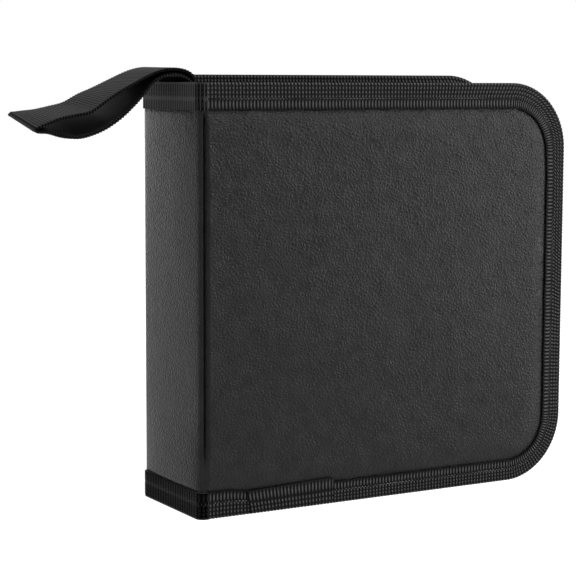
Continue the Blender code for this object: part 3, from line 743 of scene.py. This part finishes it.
def coverTape(prefix, side, top):
    stack = frontEdge[1].y + halfDepth
    length = outlineLength(top)
    fold = binding["foldRadius"]
    width = binding["outerLeg"] + binding["innerLeg"] + stack - 4 * fold + math.pi * fold
    along = round(length / tapeLook["rib"] * binding["ribPoints"])
    piece = flatStrip(prefix + "Binding", length, width, along, binding["acrossCells"])
    leanRibs(piece, lambda s, t: ribLean(s, t, top))
    setRows(piece, tapeRows)

    def place(s, t):
        inset, deep, outInset, outDeep = tapeSection(t, stack)
        lift = ribHeight(ribLean(s, t, top)) - seamDent(t)
        wander = uneven(binding["wander"], s, t, side) if t < binding["wanderWithin"] else 0.0
        inset += outInset * (lift + binding["ribDepth"])
        deep += outDeep * lift
        if t < binding["wavyWithin"]:
            inset += uneven(binding["wavyEdge"], s, 7.0, side)
        edgeX, edgeZ, turn = outlineSpot(s, 0.0, top)
        x, z, turn = outlineSpot(s, max(inset, 0.0) * tapeTrim(edgeX, edgeZ, top), top)
        y = halfDepth - max(deep, 0.0) + min(wander, binding["wanderMost"])
        return Vector((x, side * min(y, halfDepth + binding["proudMost"]), z))

    shapeStrip(piece, place)
    middleY = side * (halfDepth - stack / 2)
    faceOutwards(piece, lambda spot: Vector((0, spot.y - middleY, 0)))
    thicken(piece, binding["thick"])
    smooth(piece, 80)
    finishPiece(piece, grosgrain, [prefix + "_binding"])
    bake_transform(piece)


def oneStitch():
    # one stitch of the seam: a short thick thread whose ends dive into the tape
    bpy.ops.object.select_all(action="DESELECT")
    bpy.ops.mesh.primitive_cylinder_add(vertices=6, radius=0.5, depth=1.0, end_fill_type="NGON")
    piece = bpy.context.object
    bpy.ops.object.mode_set(mode="EDIT")
    bpy.ops.mesh.select_all(action="DESELECT")
    bpy.ops.object.mode_set(mode="OBJECT")
    for edge in piece.data.edges:
        low, high = (piece.data.vertices[i].co.z for i in edge.vertices)
        edge.select = abs(high - low) > 0.5
    bpy.ops.object.mode_set(mode="EDIT")
    bpy.ops.mesh.subdivide_edgering(number_cuts=4, interpolation="LINEAR", smoothness=0.0)
    bpy.ops.object.mode_set(mode="OBJECT")
    for v in piece.data.vertices:
        end = min(abs(v.co.z) * 2, 1.0)
        v.co.x *= 1 - 0.35 * end ** 3
        v.co.y = v.co.y * (1 - 0.35 * end ** 3) - 0.55 * end ** 3
    return piece


def copyAlong(name, base, places):
    # joins one copy of the base piece for each place
    made = bmesh.new()
    for place in places:
        copied = base.data.copy()
        copied.transform(place)
        made.from_mesh(copied)
        bpy.data.meshes.remove(copied)
    mesh = bpy.data.meshes.new(name)
    made.to_mesh(mesh)
    made.free()
    piece = bpy.data.objects.new(name, mesh)
    bpy.context.scene.collection.objects.link(piece)
    smooth(piece, 50)
    return piece


stitchBase = oneStitch()


def stitchPlace(spot, direction, outward, long, thick):
    side = outward.cross(direction).normalized()
    turn = Matrix((side, outward, direction)).transposed().to_4x4()
    return Matrix.Translation(spot) @ turn @ Matrix.Diagonal((thick, thick, long, 1.0))


def coverStitches(prefix, side, top):
    length = outlineLength(top)
    inset = binding["outerLeg"] - binding["seam"]
    count = int((length - 4 * mm) / binding["stitch"])
    places = []
    for index in range(count):
        s = 2 * mm + (index + 0.5) * binding["stitch"]
        edgeX, edgeZ, turn = outlineSpot(s, 0.0, top)
        x, z, turn = outlineSpot(s, inset * tapeTrim(edgeX, edgeZ, top), top)
        direction = Vector((math.cos(turn), 0, math.sin(turn)))
        spot = Vector((x, side * (halfDepth - binding["stitchSunk"]), z))
        outward = Vector((0, side, 0))
        places.append(stitchPlace(spot, direction, outward, binding["stitchLong"], binding["stitchThick"]))
    piece = copyAlong(prefix + "Stitches", stitchBase, places)
    finishPiece(piece, thread)
    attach(piece, prefix + "_cover")


for prefix, side, top in (("front", frontSide, frontTop), ("back", backSide, backTop)):
    coverTape(prefix, side, top)
    coverStitches(prefix, side, top)
print("binding made")


# the tape's end, lapped over its beginning on the front cover's lower run
def tapeLap():
    look = {
        "start": 22 * mm,
        "long": 37 * mm,
        "proud": 0.62 * mm,
        "short": 0.3 * mm,
        "slant": 1.6 * mm,
        "foot": 0.35 * mm,
    }
    wide = binding["outerLeg"] * (1 - trim["foot"]) - look["short"]
    along = round(look["long"] / tapeLook["rib"] * binding["ribPoints"])
    piece = flatStrip("tapeLap", look["long"], wide, along, binding["skinCells"])
    setRows(piece, lambda t: tapeRows(wide - t))

    def place(s, t):
        slant = look["slant"] * (t / wide)
        x = faceX + look["start"] + s - slant * (1 - s / look["long"])
        z = look["foot"] + t + (0.5 + 1.5 * s / look["long"]) * mm * t / wide
        edge = ease(min(s, look["long"] - s, t, wide - t), 0.0, 0.5 * mm)
        proud = look["proud"] * (0.55 + 0.45 * edge)
        return Vector((x, -halfDepth - proud - ribHeight(s) + seamDent(wide - t), z))

    shapeStrip(piece, place)
    faceOutwards(piece, lambda spot: Vector((0, -1, 0)))
    thicken(piece, binding["thick"])
    smooth(piece, 80)
    finishPiece(piece, grosgrain)
    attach(piece, "front_cover")


tapeLap()


# the spine's binding: a ribbed skin over its folded channel
def spineTape(name, low, up, skin, stitched):
    look = {
        "radius": 3.0 * mm,
        "thick": 0.14 * mm,
        "dentShare": 0.6,
        "tuckIn": 0.25 * mm,
        "tuckWithin": 0.8 * mm,
        "offFloor": 0.08 * mm,
        "stitchOut": 0.08 * mm,
    }
    radius = look["radius"]
    side = barIn - faceX - radius
    length = wrapLength(side, radius, halfDepth)
    tall = binding["outerLeg"]
    along = round(length / tapeLook["rib"] * binding["ribPoints"])
    piece = flatStrip(name, length, tall, along, binding["skinCells"])
    setRows(piece, lambda t: tapeRows(tall - t))

    def place(u, v):
        lift = skin + ribHeight(u) - look["dentShare"] * seamDent(tall - v)
        lift -= look["tuckIn"] * (1 - ease(v, 0.0, look["tuckWithin"]))
        x, y = wrapSpine(u, side, radius, halfDepth, faceX, lift)
        return Vector((x, y, low + up * max(v, look["offFloor"])))

    shapeStrip(piece, place)
    faceOutwards(piece, lambda spot: Vector((-1, spot.y * 40, 0)))
    thicken(piece, look["thick"])
    smooth(piece, 80)
    # painted shade: the spine's tapes take the darker copy of the tape
    finishPiece(piece, spineShadedGrosgrain)
    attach(piece, "spine")
    if not stitched:
        return
    places = []
    flat = 2 * (halfDepth - radius)
    count = int(flat / binding["stitch"])
    for index in range(count):
        y = -halfDepth + radius + (index + 0.5) * flat / count
        spot = Vector((faceX - look["stitchOut"], y, low + up * (tall - binding["seam"])))
        places.append(
            stitchPlace(spot, Vector((0, 1, 0)), Vector((-1, 0, 0)), binding["stitchLong"], binding["stitchThick"])
        )
    row = copyAlong(name + "Stitches", stitchBase, places)
    finishPiece(row, thread)
    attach(row, "spine")


spineTape("spineTapeFoot", 0.0, 1, 0.16 * mm, True)
spineTape("spineTapeTop", frontTop, -1, 0.05 * mm, False)
print("spine tape made")


# the wrist strap: one length of webbing, out and back
# its path is listed in mm: from the spine's face, from the front cover's top, and the rise of its far selvedge
strap = {
    "wide": 25 * mm,
    "thick": 1.0 * mm,
    "aside": 5 * mm,
    "tuck": 11.0,
    "near": 5.75,
    "far": 7.15,
    "row": 2.1 * mm,
    "ribDepth": 0.32 * mm,
    "serration": 1.1 * mm,
    "acrossCells": 20,
    "ribPoints": 5,
    "over": [
        (6.7, 2.0, 0.0),
        (4.6, 3.7, 0.0),
        (1.6, 4.7, 0.2),
        (-2.4, 5.0, 0.3),
        (-7.2, 4.2, 0.2),
        (-11.4, 2.7, 0.2),
        (-17.5, -0.1, 0.4),
        (-23.7, -3.1, 0.9),
        (-29.8, -6.2, 2.2),
        (-35.8, -9.6, 2.9),
        (-41.8, -10.9, 2.6),
        (-47.8, -12.1, 2.6),
        (-51.8, -13.0, 3.6),
    ],
    "fold": [(-55.4, -13.9, 4.6), (-57.4, -14.7, 5.4), (-56.3, -15.4, 5.3)],
    "under": [
        (-52.8, -16.0, 4.5),
        (-47.8, -17.5, 4.2),
        (-43.8, -17.9, 4.5),
        (-39.8, -17.6, 5.2),
        (-35.8, -16.6, 5.4),
        (-31.8, -15.4, 5.0),
        (-27.8, -14.0, 3.8),
        (-22.8, -12.0, 1.0),
        (-17.6, -7.8, 0.2),
        (-14.3, -4.5, 0.1),
        (-10.6, -0.5, 0.1),
        (-7.6, 1.8, 0.2),
        (-3.8, 3.0, 0.2),
        (0.4, 3.0, 0.0),
        (3.6, 2.0, 0.0),
        (5.1, 1.0, 0.0),
    ],
}


def smoothLine(points, steps):
    spots = [Vector(p) for p in points]
    line = [spots[0]]
    for index in range(len(spots) - 1):
        before = spots[max(index - 1, 0)]
        start, end = spots[index], spots[index + 1]
        after = spots[min(index + 2, len(spots) - 1)]
        span = (end - start).length
        lead = (end - before).normalized() * span / 3
        trail = (after - start).normalized() * span / 3
        line += interpolate_bezier(start, start + lead, end - trail, end, steps + 1)[1:]
    return line


def strapRoute():
    tuck, near, far = strap["tuck"], strap["near"], strap["far"]
    start = [(far, -tuck, 0.0), (far, -tuck / 2, 0.0), (far, 0.0, 0.0)]
    end = [(near, 0.0, 0.0), (near, -tuck / 2, 0.0), (near, -tuck, 0.0)]
    route = start + strap["over"] + strap["fold"] + strap["under"] + end
    return [p * mm for p in smoothLine(route, 16)]


def wristStrap():
    line = strapRoute()
    reach = [0.0]
    for a, b in zip(line, line[1:]):
        reach.append(reach[-1] + (Vector((b.x, b.y)) - Vector((a.x, a.y))).length)
    length = reach[-1]
    along = round(length / webLook["rib"] * strap["ribPoints"])
    piece = flatStrip("wristStrap", length, strap["wide"], along, strap["acrossCells"])
    setRows(piece, lambda t: 0.5 + t / strap["row"])

    def spotAt(s):
        low, high = 0, len(reach) - 1
        while high - low > 1:
            half = (low + high) // 2
            if reach[half] <= s:
                low = half
            else:
                high = half
        share = (s - reach[low]) / max(reach[high] - reach[low], 1e-9)
        return line[low].lerp(line[high], min(share, 1.0))

    def place(s, t):
        here = spotAt(s)
        before = spotAt(max(s - 0.3 * mm, 0.0))
        after = spotAt(min(s + 0.3 * mm, length))
        heading = Vector((after.x - before.x, 0, after.y - before.y)).normalized()
        outward = Vector((-heading.z, 0, heading.x)) * -1
        share = t / strap["wide"]
        rib = strap["ribDepth"] * (abs(math.sin(math.pi * s / webLook["rib"])) - 0.5)
        edge = min(share, 1 - share) * strap["wide"]
        selvedge = strap["serration"] * (abs(math.sin(math.pi * s / webLook["rib"])) - 0.5)
        y = strap["aside"] - strap["wide"] / 2 + t
        if edge < 0.01 * mm:
            y += math.copysign(selvedge, share - 0.5)
        z = frontTop + here.y + here.z * (share - 0.5)
        return Vector((faceX + here.x, y, z)) + outward * rib

    shapeStrip(piece, place)
    selectOnly(piece)
    bpy.ops.object.mode_set(mode="EDIT")
    bpy.ops.mesh.select_all(action="SELECT")
    bpy.ops.mesh.normals_make_consistent(inside=False)
    bpy.ops.object.mode_set(mode="OBJECT")
    thicken(piece, strap["thick"], 0.0)
    smooth(piece, 60)
    finishPiece(piece, webbing, ["wrist_strap"])
    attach(piece, "spine")
    tip = reach[min(range(len(line)), key=lambda i: line[i].x)]
    strapStitches(spotAt, tip)


def strapStitches(spotAt, tip):
    # rows of stitches across the fold at the strap's tip
    look = {"rows": 3, "perRow": 10, "first": 2.6 * mm, "apart": 2.0 * mm, "long": 1.8 * mm, "thick": 0.6 * mm}
    places = []
    for row in range(look["rows"]):
        s = tip - look["first"] - row * look["apart"]
        here, after = spotAt(s), spotAt(s + 0.3 * mm)
        heading = Vector((after.x - here.x, 0, after.y - here.y)).normalized()
        outward = Vector((heading.z, 0, -heading.x))
        side = Vector((0, strap["wide"], here.z)).normalized()
        for index in range(look["perRow"]):
            share = (index + 0.5) / look["perRow"] - 0.5
            y = strap["aside"] + share * strap["wide"]
            spot = Vector((faceX + here.x, y, frontTop + here.y + here.z * share))
            spot += outward * (strap["thick"] / 2 + 0.1 * mm)
            places.append(stitchPlace(spot, side, outward, look["long"], look["thick"]))
    piece = copyAlong("strapStitches", stitchBase, places)
    finishPiece(piece, thread)
    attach(piece, "spine")


wristStrap()
print("strap made")


# the zip's chain, finer than the solids
chain = {
    "pitch": 1.6 * mm,
    "toothLong": 3.375 * mm,
    "toothShare": 0.72,
    "thick": 1.5 * mm,
    "aside": 1.05 * mm,
    "recess": 9.5 * mm,
    "start": 14.5 * mm,
}


def chainSpot(s):
    radius = panel["cornerRadius"] - chain["recess"]
    top = frontTop - chain["recess"]
    low = chain["recess"]
    far = endX - chain["recess"]
    startX = faceX + chain["start"]
    run = far - radius - startX
    quarter = math.pi / 2 * radius
    upright = top - low - 2 * radius
    if s < run:
        return Vector((startX + s, 0, top)), 0.0
    s -= run
    if s < quarter:
        angle = s / radius
        return Vector((far - radius + radius * math.sin(angle), 0, top - radius + radius * math.cos(angle))), angle
    s -= quarter
    if s < upright:
        return Vector((far, 0, top - radius - s)), math.pi / 2
    s -= upright
    if s < quarter:
        angle = s / radius
        spot = Vector((far - radius + radius * math.cos(angle), 0, low + radius - radius * math.sin(angle)))
        return spot, math.pi / 2 + angle
    s -= quarter
    return Vector((far - radius - s, 0, low)), math.pi


def chainLength():
    radius = panel["cornerRadius"] - chain["recess"]
    run = endX - chain["recess"] - radius - faceX - chain["start"]
    return 2 * run + math.pi * radius + frontTop - 2 * chain["recess"] - 2 * radius


def oneTooth():
    # one moulded tooth: a block with a swollen head and rounded edges
    bpy.ops.object.select_all(action="DESELECT")
    bpy.ops.mesh.primitive_cube_add(size=1.0)
    piece = bpy.context.object
    bpy.ops.object.mode_set(mode="EDIT")
    bpy.ops.mesh.select_all(action="SELECT")
    bpy.ops.mesh.subdivide(number_cuts=1)
    bpy.ops.object.mode_set(mode="OBJECT")
    for v in piece.data.vertices:
        head = ease(v.co.y, -0.2, 0.5)
        v.co.x *= 0.62 + 0.2 * head
        v.co.z *= 1 - 0.25 * abs(v.co.y - 0.1)
    selectOnly(piece)
    rounding = piece.modifiers.new("rounding", "SUBSURF")
    rounding.levels = 1
    rounding.render_levels = 1
    bpy.ops.object.modifier_apply(modifier=rounding.name)
    return piece


toothBase = oneTooth()


def chainHalf(prefix, side):
    length = chainLength()
    count = int(length / chain["pitch"])
    places = []
    shift = 0.0 if side == frontSide else 0.5
    for index in range(count):
        spot, turn = chainSpot((index + shift) * length / count)
        direction = Vector((math.cos(turn), 0, -math.sin(turn)))
        outward = Vector((math.sin(turn), 0, math.cos(turn)))
        inwards = Vector((0, -side, 0))
        middle = spot + Vector((0, side * chain["aside"], 0))
        turned = Matrix((direction, inwards, outward)).transposed().to_4x4()
        size = Matrix.Diagonal((chain["pitch"] * chain["toothShare"], chain["toothLong"], chain["thick"], 1.0))
        places.append(Matrix.Translation(middle) @ turned @ size)
    piece = copyAlong(prefix + "Chain", toothBase, places)
    selectOnly(piece)
    bpy.ops.object.mode_set(mode="EDIT")
    bpy.ops.mesh.select_all(action="SELECT")
    bpy.ops.mesh.normals_make_consistent(inside=False)
    bpy.ops.object.mode_set(mode="OBJECT")
    finishPiece(piece, nylon, [prefix + "_zip_coil"])
    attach(piece, prefix + "_cover")


chainHalf("front", frontSide)
chainHalf("back", backSide)
print("zip made")


# the sleeves, leaf by leaf
def sleeveLeaves():
    look = {
        "pitch": 1.8 * mm,
        "thick": 0.95 * mm,
        "cell": 7 * mm,
        "corner": 4 * mm,
        "cornerPull": 0.35,
        "sway": {"size": 60 * mm, "deep": 0.32 * mm},
        "shorter": 1.5 * mm,
    }
    low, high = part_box("disc_sleeves")
    count = round((high.y - low.y - look["thick"]) / look["pitch"]) + 1
    long, tall = high.x - low.x, high.z - low.z
    leaves = []
    for index in range(count):
        y0 = low.y + look["thick"] / 2 + index * look["pitch"]
        leaf = flatStrip("leaf", long, tall, round(long / look["cell"]), round(tall / look["cell"]))

        def place(u, v):
            soft = ease(u, 20 * mm, long)
            size = look["sway"]["size"]
            sway = uneven(look["sway"], u, v, index * 0.9 * size) * soft
            shorten = noise.noise(Vector((index * 3.1, 0.5, 0.5))) * look["shorter"] * soft
            x = low.x + u - abs(shorten) * u / long
            z = low.z + v
            corner = max(0.0, u - (long - look["corner"])) / look["corner"]
            nearEnd = ease(abs(v - tall / 2), tall * 0.35, tall * 0.5)
            z += (1 - 2 * v / tall) * look["corner"] * look["cornerPull"] * corner ** 2 * nearEnd
            return Vector((x, y0 + sway, z))

        shapeStrip(leaf, place)
        faceOutwards(leaf, lambda spot: Vector((0, -1, 0)))
        thicken(leaf, look["thick"], 0.0)
        leaves.append(leaf)
    bpy.ops.object.select_all(action="DESELECT")
    for leaf in leaves:
        leaf.select_set(True)
    bpy.context.view_layer.objects.active = leaves[0]
    bpy.ops.object.join()
    piece = bpy.context.object
    piece.name = "discSleeves"
    smooth(piece, 40)
    finishPiece(piece, film, ["disc_sleeves"])
    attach(piece, "spine")


sleeveLeaves()
for base in (stitchBase, toothBase):
    bpy.data.objects.remove(base, do_unlink=True)
print("sleeves made")


# camera, floor and light
def setCamera():
    look = {
        "place": (-311.65 * mm, -626.9 * mm, 166.6 * mm),
        "turn": -30.0,
        "down": 6.56,
        "roll": 0.19,
        "lens": 113.97,
    }
    data = bpy.data.cameras.new("photoCamera")
    data.lens = look["lens"]
    data.sensor_width = 36.0
    data.clip_start = 0.01
    camera = bpy.data.objects.new("photoCamera", data)
    bpy.context.scene.collection.objects.link(camera)
    turn = Matrix.Rotation(math.radians(look["turn"]), 4, "Z")
    tilt = Matrix.Rotation(math.radians(90 - look["down"]), 4, "X")
    roll = Matrix.Rotation(math.radians(look["roll"]), 4, "Z")
    camera.matrix_world = Matrix.Translation(look["place"]) @ turn @ tilt @ roll
    bpy.context.scene.camera = camera


def whiteRays(owner):
    # rays that see plain white: the camera's, mirrored and transmitted ones
    ray = addNode(owner, "ShaderNodeLightPath")
    bent = addNode(
        owner, "ShaderNodeMath", {0: (ray, "Is Glossy Ray"), 1: (ray, "Is Transmission Ray")}, operation="MAXIMUM"
    )
    return addNode(owner, "ShaderNodeMath", {0: (ray, "Is Camera Ray"), 1: (bent, 0)}, operation="MAXIMUM")


def setFloor():
    look = {"size": 8.0, "below": 0.05 * mm, "glowShare": 0.7, "glow": (1.36, 1.5), "glowFrom": (0.2, 0.6)}
    bpy.ops.object.select_all(action="DESELECT")
    bpy.ops.mesh.primitive_plane_add(size=look["size"], location=(0, 0, -look["below"]))
    floor = bpy.context.object
    floor.name = "floor"
    material, surface = blankMaterial("palePaperSweep", Roughness=0.8)
    surface.inputs["Base Color"].default_value = fromHex("f2f2f2")
    nodes = material.node_tree
    place = addNode(material, "ShaderNodeTexCoord")
    away = addNode(material, "ShaderNodeVectorMath", {0: (place, "Object")}, operation="LENGTH")
    glow = addNode(
        material,
        "ShaderNodeMapRange",
        {
            "Value": (away, "Value"),
            "From Min": look["glowFrom"][0],
            "From Max": look["glowFrom"][1],
            "To Min": look["glow"][0],
            "To Max": look["glow"][1],
        },
    )
    white = addNode(material, "ShaderNodeEmission", {"Color": (1.0, 1.0, 1.0, 1.0), "Strength": (glow, 0)})
    share = addNode(
        material, "ShaderNodeMath", {0: (whiteRays(material), 0), 1: look["glowShare"]}, operation="MULTIPLY"
    )
    mix = addNode(material, "ShaderNodeMixShader", {0: (share, 0), 1: (surface, 0), 2: (white, 0)})
    output = nodes.nodes["Material Output"]
    nodes.links.new(mix.outputs[0], output.inputs["Surface"])
    floor.data.materials.append(material)


def setWorld():
    world = bpy.data.worlds.new("studio")
    bpy.context.scene.world = world
    world.use_nodes = True
    sky = world.node_tree.nodes["Background"]
    sky.inputs["Color"].default_value = fromHex("ffffff")
    sky.inputs["Strength"].default_value = 0.06
    seen = addNode(world, "ShaderNodeBackground", {"Color": fromHex("ffffff"), "Strength": 1.0})
    mix = addNode(world, "ShaderNodeMixShader", {0: (whiteRays(world), 0), 1: (sky, 0), 2: (seen, 0)})
    world.node_tree.links.new(mix.outputs[0], world.node_tree.nodes["World Output"].inputs["Surface"])


def addSoftbox(name, place, target, size, watts):
    data = bpy.data.lights.new(name, "AREA")
    data.shape = "RECTANGLE"
    data.size, data.size_y = size
    data.energy = watts
    lamp = bpy.data.objects.new(name, data)
    bpy.context.scene.collection.objects.link(lamp)
    lamp.location = place
    lamp.visible_camera = False
    lamp.rotation_euler = (Vector(target) - Vector(place)).to_track_quat("-Z", "Y").to_euler()


bpy.context.scene.view_settings.view_transform = "Standard"
setCamera()
setFloor()
setWorld()
addSoftbox("topBox", (0.13, -0.2, 0.95), (0.1, 0.0, 0.12), (0.6, 0.15), 9.0)
addSoftbox("frontBox", (0.54, -0.68, 0.59), (0.09, 0.0, 0.15), (0.3, 0.15), 2.6)
addSoftbox("behindBox", (0.12, 1.2, 0.25), (0.0, 0.02, 0.08), (0.35, 0.8), 3.0)
addSoftbox("rightBox", (0.4, -0.18, 0.1), (0.15, -0.02, 0.08), (0.08, 0.4), 0.9)
addSoftbox("leftBox", (-0.25, 0.4, 0.75), (0.0, 0.0, 0.1), (0.3, 0.3), 0.7)
print("stage set")
